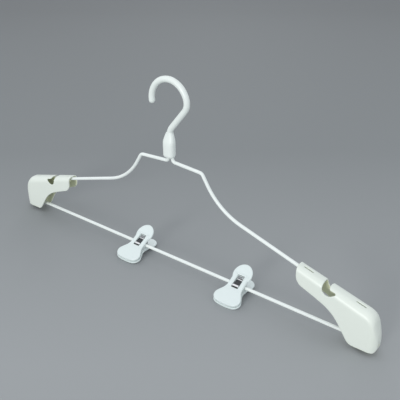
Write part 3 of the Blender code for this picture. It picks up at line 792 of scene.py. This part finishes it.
def section(x, low, high, half, edge):
    """Ring round the shell at x, with swelling walls and round roof edges."""
    r = min(edge, 0.95 * half, 0.48 * (high - low))
    walls = [(high - r - low) * i / 6 for i in range(7)]
    side = []
    for up in walls:
        share = up / (high - low)
        side.append((half + min(SWELL, half * 0.05) * 4 * share * (1 - share), low + up))
    wall = side[-1][0]
    for degrees in range(10, 91, 10):
        a = math.radians(degrees)
        side.append((wall - r + r * math.cos(a), high - r + r * math.sin(a)))
    right = [(x, y, z) for y, z in side]
    return right + [(x, -y, z) for _, y, z in reversed(right)]


def crown(name, inset):
    """The full form of the shell, or of its hollow."""
    outline = rounded(crown_corners(inset), closed=True)
    last = max(p.x for p in outline) - 0.02
    straight = NOSE_X - NOSE_LENGTH
    first = END_X - PAST + 1
    stations = [first + (straight - first) * i / 60 for i in range(60)]
    stations += [straight + (last - straight) * math.sin(math.pi / 2 * i / 30) for i in range(31)]
    rings = []
    for x in stations:
        rings.append(section(x, *span(outline, x), half_depth(x, inset), outward(EDGE_R, x) - inset))
    return loft(name, rings)


# %% Underside and notch, and where the wires lie inside
def end_profile():
    """Side view of the shell below the roof: inner end, hollow of the underside, foot."""
    above = END_Z + 30
    beyond = NOSE_X + 30
    return rounded([
        (END_X + 2.4, above, 0),
        (beyond, above, 0),
        (beyond, FOOT_Z, 0),
        (END_X + 60.4, FOOT_Z, 8.0),            # inner side of the foot
        (END_X + 42.5, END_Z - 32.4, 45.0),     # hollow of the underside
        (END_X + 4.6, END_Z - 17.4, 10.0),      # lower corner of the inner end
    ], closed=True)


def notch_profile():
    """The strap notch: a J-shaped floor and an undercut below a round lip."""
    corners = [
        (29.6, 6, 0),
        (35.8, 6, 0),
        (35.8, -9.6, 0),        # end of the lip
        (37.2, -12.8, 2.2),     # and its underside
        (44.5, -14.5, 1.0),     # tip of the undercut
        (30.6, -23.7, 5.8),     # floor
    ]
    return rounded([(END_X + x, END_Z + z, radius) for x, z, radius in corners], closed=True)


def wire_height(x):
    """Height of the shoulder wire on its last straight run."""
    slope = (WIRE_END[1] - SLOPE_CORNER[1]) / (WIRE_END[0] - SLOPE_CORNER[0])
    return SLOPE_CORNER[1] + slope * (x - SLOPE_CORNER[0])


def return_height(x):
    """Height of the bar's turned-back end."""
    tip_x, tip_z = BAR_TIP
    return tip_z + (BAR_TOP_Z - tip_z) * (x - tip_x) / (BAR_RISER_X - tip_x)


# %% Ribs with snap mouths, and slots
THROUGH = 12                    # far enough for a cutter to pass right through
RIB = 1.6
RIB_LIP = 2.5                   # rib left below the middle of its wire
SNAP_HALF = 1.3


def rib(x, low, high):
    """A wall across the hollow at x."""
    return block("rib", (x - RIB / 2, -THROUGH, low), (x + RIB / 2, THROUGH, high))


def snap_mouth(line):
    """Cutter below a wire's bore, narrower than the wire, so that the wire snaps in."""
    below = [Vector((p.x, p.y - RIB_LIP - 1)) for p in reversed(line)]
    return slab("mouth", line + below, SNAP_HALF)


def roof_slot(x):
    """Cutter for a slot along the slanted roof."""
    z = END_Z - ROOF_SLOPE * (x - END_X)
    slot = block("slot", (-5, -0.7, -4), (5, 0.7, 4))
    turn = Matrix.Rotation(math.atan(ROOF_SLOPE), 4, "Y")
    slot.data.transform(Matrix.Translation(Vector((x, 0, z)) * MM) @ turn)
    return slot


# %% Cut the right end and soften it
WIRE_RIBS = (END_X + 6.5, END_X + 20.5)
RETURN_RIB = END_X + 60.0
BAR_RIBS = (END_X + 62.5, END_X + 69.5)
BAR_RIB_RISE = 5.0
ROOF_SLOTS = (END_X + 13.5, END_X + 65.0)

ribs = [rib(x, wire_height(x) - RIB_LIP, END_Z + 1) for x in WIRE_RIBS]
ribs.append(rib(RETURN_RIB, return_height(RETURN_RIB) - RIB_LIP, END_Z + 1))
ribs += [rib(x, BAR_Z - RIB_LIP, BAR_Z + BAR_RIB_RISE) for x in BAR_RIBS]
hollow = combine(crown("hollow", WALL), "DIFFERENCE", ribs)

mouth_x = END_X - 1
wire_in = [Vector((mouth_x, wire_height(mouth_x))), Vector(WIRE_END) + Vector((0.3, -0.1))]
bar_inner = Vector((END_X + 40, BAR_Z))
low_run = [p for p in bar_half if p.y < BAR_Z + BAR_RIB_RISE and p.x < END_X + 71.1]
low_run[-1] = bar_inner
return_x = END_X + 61.6
return_in = [bar_half[0] + Vector((-0.3, 0.1)), Vector((return_x, return_height(return_x)))]
bar_in = [return_in[0]] + bar_half[1:-1] + [bar_inner]
seats = [
    tube("wire_bore", wire_in, BORE_R),
    snap_mouth(wire_in),
    tube("bar_bore", bar_in, BORE_R),
    snap_mouth(return_in),
    snap_mouth(low_run),
]
end = combine(crown("end", 0), "INTERSECT", [slab("profile", end_profile(), THROUGH)])
notch = slab("notch", notch_profile(), THROUGH)
end = combine(end, "DIFFERENCE", [hollow, notch, *(roof_slot(x) for x in ROOF_SLOTS), *seats])
end_right = soften(lower_to_frame(end), "shoulder_end_right_moulding", 0.42, 4)


# %% Note where the end gets painted hollow shade, and mirror it
def mark_painted_hollow_shade(obj):
    """Note on each point how deep it lies below the outer surface, from 0 to 1, for its painted
    shade.
    """
    outline = rounded(crown_corners(0), closed=True)
    values = []
    for vertex in obj.data.vertices:
        x = min(vertex.co.x / MM, NOSE_X - 0.1)
        from_wall = half_depth(x, 0) - abs(vertex.co.y / MM)
        from_roof = span(outline, x)[1] - vertex.co.z / MM - NECK_BELOW_ORIGIN
        edge = outward(EDGE_R, x)
        depth = min(from_wall, from_roof, (NOSE_X - x) * 0.8)
        if from_wall < edge and from_roof < edge:
            depth = edge - math.hypot(edge - from_wall, edge - from_roof)
        values.append(min(1.0, max(0.0, (depth - 0.8) / 0.7)))
    # the note sets how much warm green painted shade each point gets
    note(obj, "hollow", values)


mark_painted_hollow_shade(end_right)
builder = bmesh.new()
builder.from_mesh(end_right.data)
bmesh.ops.scale(builder, vec=(-1, 1, 1), verts=builder.verts)
bmesh.ops.reverse_faces(builder, faces=builder.faces)
end_left = mesh_object("shoulder_end_left_moulding", builder)
end_left.data.shade_smooth()
dress(end_right, end_plastic, "frame", "shoulder_end_right")
dress(end_left, end_plastic, "frame", "shoulder_end_left")


# %% [markdown]
# Clip jaws
#
# A clip has two like jaws, back to back. Each is one plate: a round thumb tab that flares out, a
# waist with a window for the spring, and a fan-shaped jaw. Cheeks on its inner side keep it on the
# bar. The plate is a loft from the tab down to the tip. The window, the spring's pocket, a deeper
# recess for its lip and the bar's seat are cut out. Then points of the soft face move, which is
# easier here than more Booleans: up for a round rail beside the window, down for the thumb's dish.
# The back jaw is a little longer, so its tip shows as a ledge. Jaws are made with the bar along x
# and then turned to their clip's lean.

# %% Outline and section of a jaw
TAB_R = 10.4  # places along the clip end in T, heights above its middle in N
TAB_T = 10.6
WAIST = 8.9
FLANK_R = 13.4
FLANK = Vector((WAIST + FLANK_R, -2.6))
CORNER = Vector((7.9, -17.7))
CORNER_R = 7.0
TIP_BULGE = 0.7
TIP_T = CORNER.y - CORNER_R - TIP_BULGE
REACH = {"front": 0.2, "back": 1.0}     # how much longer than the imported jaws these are
PLATE = 2.2
FACE_N = 4.9                    # outer face at the bar, and at the tip
TIP_N = 2.4
FACE_EDGE_R = 1.0
BACK_EDGE_R = 0.7
FLARE = math.tan(math.radians(18.5))


def jaw_face(t):
    """Height of a jaw's outer face above the clip's middle plane."""
    if t > 0:
        return FACE_N + t * FLARE
    return FACE_N + (TIP_N - FACE_N) * t / TIP_T


def jaw_half_outline(reach):
    """Half width and place along the clip, from the thumb tab down to the jaw's tip."""
    corner = CORNER - Vector((0, reach))
    line = arc(Vector((0, TAB_T)), TAB_R, 87, -math.degrees(math.acos(WAIST / TAB_R)))
    between = corner - FLANK
    turn = math.degrees(math.atan2(between.y, between.x))
    apart = math.degrees(math.acos((FLANK_R + CORNER_R) / between.length))
    line += arc(FLANK, FLANK_R, 180, 360 + turn - apart)
    line += arc(corner, CORNER_R, turn + 180 - apart, -90)
    for share in (0.3, 0.5, 0.7, 0.85, 0.95):
        half = corner.x * math.sqrt(1 - share * share)
        line.append(Vector((half, corner.y - CORNER_R - TIP_BULGE * share)))
    return line


def jaw_ring(half, t):
    """Section of the plate with round edges, the outer face towards -y."""
    face = jaw_face(t)
    back = face - PLATE * (math.sqrt(1 + FLARE * FLARE) if t > 0 else 1)
    ring = []
    quarters = ((1, face, -1, 0), (-1, face, -1, 90), (-1, back, 1, 180), (1, back, 1, 270))
    for side, n, turned, start in quarters:
        r = min(FACE_EDGE_R if turned < 0 else BACK_EDGE_R, half * 0.9)
        n += turned * r
        for degrees in range(start, start + 91, 15):
            a = math.radians(degrees)
            ring.append((side * (half - r) + r * math.cos(a), -(n + r * math.sin(a)), t))
    return ring


# %% Cheeks and grip ribs
CHEEK_X = 6.4
CHEEK_HALF = 2.0
CHEEK_N = 0.3  # half the gap between the cheeks of both jaws
CHEEK_T = (-8.0, 1.2)


def cheek(side):
    """A cheek on the inside of the jaw, cut back so that the clip can open."""
    foot, top = CHEEK_T
    lean = math.tan(math.radians(23.0))
    outline = [
        Vector((-CHEEK_N, foot)),
        Vector((-CHEEK_N, 0)),
        Vector((-CHEEK_N - top * lean, top)),
        Vector((PLATE / 2 - jaw_face(top), top)),
        Vector((PLATE / 2 - jaw_face(foot), foot)),
    ]
    piece = slab("cheek", outline, CHEEK_HALF, across="X")
    piece.data.transform(Matrix.Translation((side * CHEEK_X * MM, 0, 0)))
    return piece


def rib_tree():
    """A tree that lays a row of bars."""
    kinds = {"Count": "Int", "First": "Vector", "Step": "Vector", "Width": "Float",
             "Radius": "Float", "Finish": "Material"}
    tree, inputs, keys = new_tree("row_of_ribs", kinds)
    start = Field(tree)
    line = {"Count": inputs["Count"], "Start Location": inputs["First"], "Offset": inputs["Step"]}
    spots = start.node("GeometryNodeMeshLine", {}, line)
    bar = start.node("GeometryNodeMeshCylinder", {},
                     {"Vertices": 20, "Radius": inputs["Radius"], "Depth": inputs["Width"]})
    row = start.node("GeometryNodeInstanceOnPoints", {},
                     {"Points": spots, "Instance": bar, "Rotation": (0, math.pi / 2, 0)})
    end_tree(tree, row, inputs["Finish"])
    return tree, keys


def grip_ribs():
    """Three round ribs inside the jaw, which bite the cloth."""
    holder = link(bpy.data.objects.new("grips", bpy.data.meshes.new("grips")))
    sizes = {"Count": 3, "First": (0, -0.95 * MM, -21.5 * MM), "Step": (0, -0.24 * MM, 3.0 * MM),
             "Width": 18 * MM, "Radius": 0.75 * MM, "Finish": clip_plastic}
    return grow(holder, *rib_tree(), sizes)


# %% Openings of a jaw
HANG = Vector((0.95, 1.5))  # the bar's place in a clip that hangs on it, as (n, t)
WINDOW_HALF = 3.9
WINDOW_T = (-2.0, 9.0)
POCKET_N = 3.9                  # floor of the pocket in which the spring's foot lies
POCKET_T = (-5.4, -1.0)
SLOT_HALF = 3.8                 # the deeper recess, for the spring's lip
SLOT_N = 2.7
SLOT_T = (-5.4, -3.4)


def opening(name, half, low_n, span_t):
    """Cutter from a height above the middle plane out through the face."""
    return block(name, (-half, -THROUGH, span_t[0]), (half, -low_n, span_t[1]))


def jaw_blank(bar_n, reach):
    """A jaw with its ribs, whose bar lies at the height bar_n above the clip's middle plane."""
    body = loft("jaw", [jaw_ring(p.x, p.y) for p in jaw_half_outline(reach)])
    body = combine(body, "UNION", [cheek(-1), cheek(1)])
    window = opening("window", WINDOW_HALF, 0, WINDOW_T)
    pocket = opening("pocket", WINDOW_HALF, POCKET_N, POCKET_T)
    slot = opening("slot", SLOT_HALF, SLOT_N, SLOT_T)
    seat = tube("seat", [Vector((-11, HANG.y)), Vector((11, HANG.y))], BORE_R, sides=40)
    seat.data.transform(Matrix.Translation((0, -bar_n * MM, 0)))
    body = combine(body, "DIFFERENCE", [window, pocket, slot, seat])
    builder = bmesh.new()
    for part in (body, grip_ribs()):
        builder.from_mesh(part.data)
        bpy.data.objects.remove(part)
    return mesh_object("jaw", builder)


# %% Rails and thumb dish
RAIL_MIDDLE = 6.4
RAIL_RISE = 1.0
RAIL_T = 3.0
RAIL_HALF_LENGTH = 7.5
DISH_R = 8.6
DISH_DEPTH = 0.5
DISH_T = 9.5  # the dish starts above the window


def face_drop(spot):
    """How far a point of the face moves inward: below 0 on a rail, above 0 in the dish."""
    across = (abs(spot.x) - RAIL_MIDDLE) / (WAIST - RAIL_MIDDLE)
    along = (spot.y - RAIL_T) / RAIL_HALF_LENGTH
    rail = max(0.0, 1 - across * across) * max(0.0, 1 - along ** 4)
    dish = max(0.0, 1 - ((spot - Vector((0, TAB_T))).length / DISH_R) ** 2)
    dish *= dish * min(1.0, max(0.0, (spot.y - DISH_T) / 2))
    return DISH_DEPTH * dish - RAIL_RISE * rail


def lies_in_painted_shade(spot, depth):
    """Whether a point gets painted shade: in the lip's recess or on the window's upper wall."""
    in_slot = SLOT_T[0] < spot.y < SLOT_T[1] and 0.8 < depth < PLATE
    top = WINDOW_T[1]
    on_upper_wall = top - 0.3 < spot.y < top + 0.5 and 0.4 < depth < 1.2
    return abs(spot.x) < 4.0 and (in_slot or on_upper_wall)


def make_jaw(bar_n, reach):
    """A soft jaw with its rails and dish, and a note of where it gets near-black painted shade."""
    jaw = soften(jaw_blank(bar_n, reach), "jaw", 0.26, 3)
    dark = []
    for vertex in jaw.data.vertices:
        spot = Vector((vertex.co.x, vertex.co.z)) / MM
        depth = jaw_face(spot.y) + vertex.co.y / MM
        dark.append(float(lies_in_painted_shade(spot, depth)))
        if depth <= 0.5:
            vertex.co.y += face_drop(spot) * MM
    # painted shade in the lip's recess and on the window's upper wall
    note(jaw, "hollow", dark)
    return jaw


jaws = {"front": make_jaw(HANG.x, REACH["front"]), "back": make_jaw(-HANG.x, REACH["back"])}

# %% [markdown]
# Springs
#
# Each spring is a bent band that straddles the bar and presses on both jaws below it. Its side
# view is a hairpin, and each foot ends in a lip that lies almost flat in the jaw's recess. The lips
# and two lines on the bend get a near-white painted highlight. A real band flexes when the clip
# opens, and a stiff one would cut into the jaws. Here it is made as two like legs, which meet at
# the top of the bend, each on its own jaw's side of the clip, and both stay in their rest place.

# %% A leg of the spring band
BAND = 0.7
BAND_HALF = 3.3
BAND_N = POCKET_N + 0.3 + BAND / 2
LIP_TOP_T = -1.8
LIP_END_T = -4.3
BEND_T = 4.9  # middle of the bend over the bar
BEND_STEPS = 90
RUN_STEPS = 30
# places along the band with a painted highlight: the lip and two lines on the bend
PAINTED_HIGHLIGHT_T = ((LIP_END_T + 0.15, LIP_TOP_T - 0.1), (4.8, 5.9), (7.7, 8.5))


def band_outline():
    """Side view of the bent spring band, as (y, z)."""
    left = [
        Vector((-BAND_N - 0.4, LIP_END_T)),
        Vector((-BAND_N - 0.36, LIP_END_T + 0.2)),
        Vector((-BAND_N, LIP_TOP_T - 0.2)),
    ]
    run = BEND_T - LIP_TOP_T
    left += [Vector((-BAND_N, LIP_TOP_T + run * i / RUN_STEPS)) for i in range(RUN_STEPS)]
    turns = [math.pi * i / BEND_STEPS for i in range(BEND_STEPS + 1)]
    bend = [Vector((-BAND_N * math.cos(a), BEND_T + BAND_N * math.sin(a))) for a in turns]
    middle = left + bend + mirrored(left)
    outer = []
    inner = []
    for i, here in enumerate(middle):
        across = square_to(middle, i) * BAND / 2
        outer.append(here + across)
        inner.append(here - across)
    return outer + inner[::-1]


def make_leg():
    """The front half of the band, from its lip to the top of the bend."""
    band = slab("band", band_outline(), BAND_HALF, across="X")
    modify(band, "BEVEL", width=0.12 * MM, segments=2, angle_limit=math.radians(50))
    band = bake(band, "band")
    builder = bmesh.new()
    builder.from_mesh(band.data)
    bpy.data.objects.remove(band)
    whole = builder.verts[:] + builder.edges[:] + builder.faces[:]
    bmesh.ops.bisect_plane(builder, geom=whole, plane_no=(0, 1, 0), clear_outer=True)
    cut = [edge for edge in builder.edges if edge.is_boundary]
    bmesh.ops.holes_fill(builder, edges=cut, sides=0)
    half = mesh_object("leg", builder)
    along = [vertex.co.z / MM for vertex in half.data.vertices]
    # note where the painted highlight goes
    note(half, "bare", [float(any(low < t < high for low, high in PAINTED_HIGHLIGHT_T)) for t in along])
    return half


# %% Place the clips
CLIP_LEAN = {"left": 77.0, "right": 76.0}  # degrees forward from hanging straight down
leg = make_leg()


def placed_copy(name, source, place):
    """A smooth copy of a piece, whose place is in its mesh."""
    made = link(bpy.data.objects.new(name, source.data.copy()))
    made.data.transform(place)
    made.data.shade_smooth()
    return made


for side, lean in CLIP_LEAN.items():
    pivot = Vector(joints[f"front_jaw_{side}_open"]["pos_m"])
    to_clip = Matrix.Translation(pivot) @ Matrix.Rotation(-math.radians(lean), 4, "X")
    to_clip @= Matrix.Translation((0, HANG.x * MM, -HANG.y * MM))
    for face, turn in (("front", 0), ("back", math.pi)):
        node = f"{face}_jaw_{side}"
        to_half = to_clip @ Matrix.Rotation(turn, 4, "Z")
        half = placed_copy(node + "_moulding", jaws[face], to_half)
        dress(half, clip_plastic, node, node)
        spring = placed_copy(f"spring_{side}_{face}_leg", leg, to_half)
        spring.data.set_sharp_from_angle(angle=math.radians(40))
        spring.data.materials.append(spring_steel)
        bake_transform(spring)
        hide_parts(f"spring_{side}")
    print(side, "clip at x =", round(pivot.x / MM, 1), "mm")
for left_over in (*jaws.values(), leg):
    bpy.data.objects.remove(left_over)

# %% [markdown]
# Floor and lamps
#
# The hanger is white, so the floor is grey paper that lets its edges show. Towards the back its
# grey is painted darker, a painted shade for the light's falloff. A single lamp would leave the
# hollows black, so most of the light comes from all round.
# A wide lamp, whose shadows are soft, stands low in front, and a weak one behind.

# %% Floor
FLOOR_Z = cad_low[2]
FLOOR_SHIFT = 2.2               # the floor ends in front before the key lamp's bright pool
# the floor's painted shade darkens along this way, over this run, through these greys
PAINTED_SHADE_AXIS = (-0.6, 0.8, 0)     # the way the paper's grey deepens
PAINTED_SHADE_RUN = (-0.15, 1.35)       # where it starts and ends to deepen, in metres along that way
PAINTED_SHADE_GREYS = [(0, (0.345, 0.362, 0.37)), (0.3, (0.23, 0.246, 0.252)), (1, (0.17, 0.18, 0.185))]


def floor_with_painted_shade():
    """Grey paper with a painted shade that darkens it along one way over the floor."""
    finish, start, shader = new_finish("floor_painted_shade", 0.75)
    spot = start.node("ShaderNodeTexCoord", output="Object")
    along = start.node("ShaderNodeVectorMath", {"operation": "DOT_PRODUCT"},
                       {0: spot, 1: PAINTED_SHADE_AXIS}, output="Value")
    share = start.node("ShaderNodeMapRange", {},
                       {"Value": along, "From Min": PAINTED_SHADE_RUN[0], "From Max": PAINTED_SHADE_RUN[1]})
    grey = start.node("ShaderNodeValToRGB", {"stops": PAINTED_SHADE_GREYS}, {"Fac": share})
    wire_up(start, shader, "Base Color", grey)
    return finish


builder = bmesh.new()
bmesh.ops.create_grid(builder, x_segments=1, y_segments=1, size=4)
bmesh.ops.translate(builder, vec=(0, FLOOR_SHIFT, FLOOR_Z), verts=builder.verts)
floor = mesh_object("floor", builder)
floor.data.materials.append(floor_with_painted_shade())
print("floor at", round(FLOOR_Z, 4), "m")

# %% Lamps and world
def soft_lamp(name, place, target, size, power, colour):
    """A round lamp that faces the target."""
    lamp_data = bpy.data.lights.new(name, "AREA")
    lamp_data.shape = "DISK"
    lamp_data.size = size
    lamp_data.energy = power
    lamp_data.color = colour
    lamp = link(bpy.data.objects.new(name, lamp_data))
    lamp.location = place
    lamp.rotation_euler = (Vector(target) - Vector(place)).to_track_quat("-Z", "Y").to_euler()


MIDDLE = (0, 0, -0.1)
soft_lamp("key", (0.31, -3.1, 0.705), MIDDLE, 1.0, 38.0, (1.0, 0.995, 0.98))
soft_lamp("back", (-0.9, 1.3, 0.55), MIDDLE, 0.5, 1.5, (0.97, 0.99, 1.0))

world = bpy.data.worlds.new("studio")
world.use_nodes = True
sky = world.node_tree.nodes["Background"].inputs
sky["Color"].default_value = (0.93, 0.96, 1.0, 1)
sky["Strength"].default_value = 0.86
bpy.context.scene.world = world

# %% [markdown]
# Camera
#
# The photograph looks down on the hanger from its front right. The two halves of the wire frame
# are mirror images, and only one camera shows both where they are seen, which gave its place. Two
# angles turn it, and the lens sets how much of the scene it takes in.

# %% The camera
CAMERA_PLACE = Vector((0.34782, -0.41330, 0.16774))
CAMERA_YAW = 37.04
CAMERA_PITCH = 28.21

camera_data = bpy.data.cameras.new("camera")
camera_data.lens = 54.68
camera_data.sensor_width = 36.0
camera_data.clip_start = 0.01
camera = link(bpy.data.objects.new("camera", camera_data))
camera.location = CAMERA_PLACE
camera.rotation_euler = (math.radians(90 - CAMERA_PITCH), 0, math.radians(CAMERA_YAW))
bpy.context.scene.camera = camera
bpy.context.scene.view_settings.view_transform = "Standard"
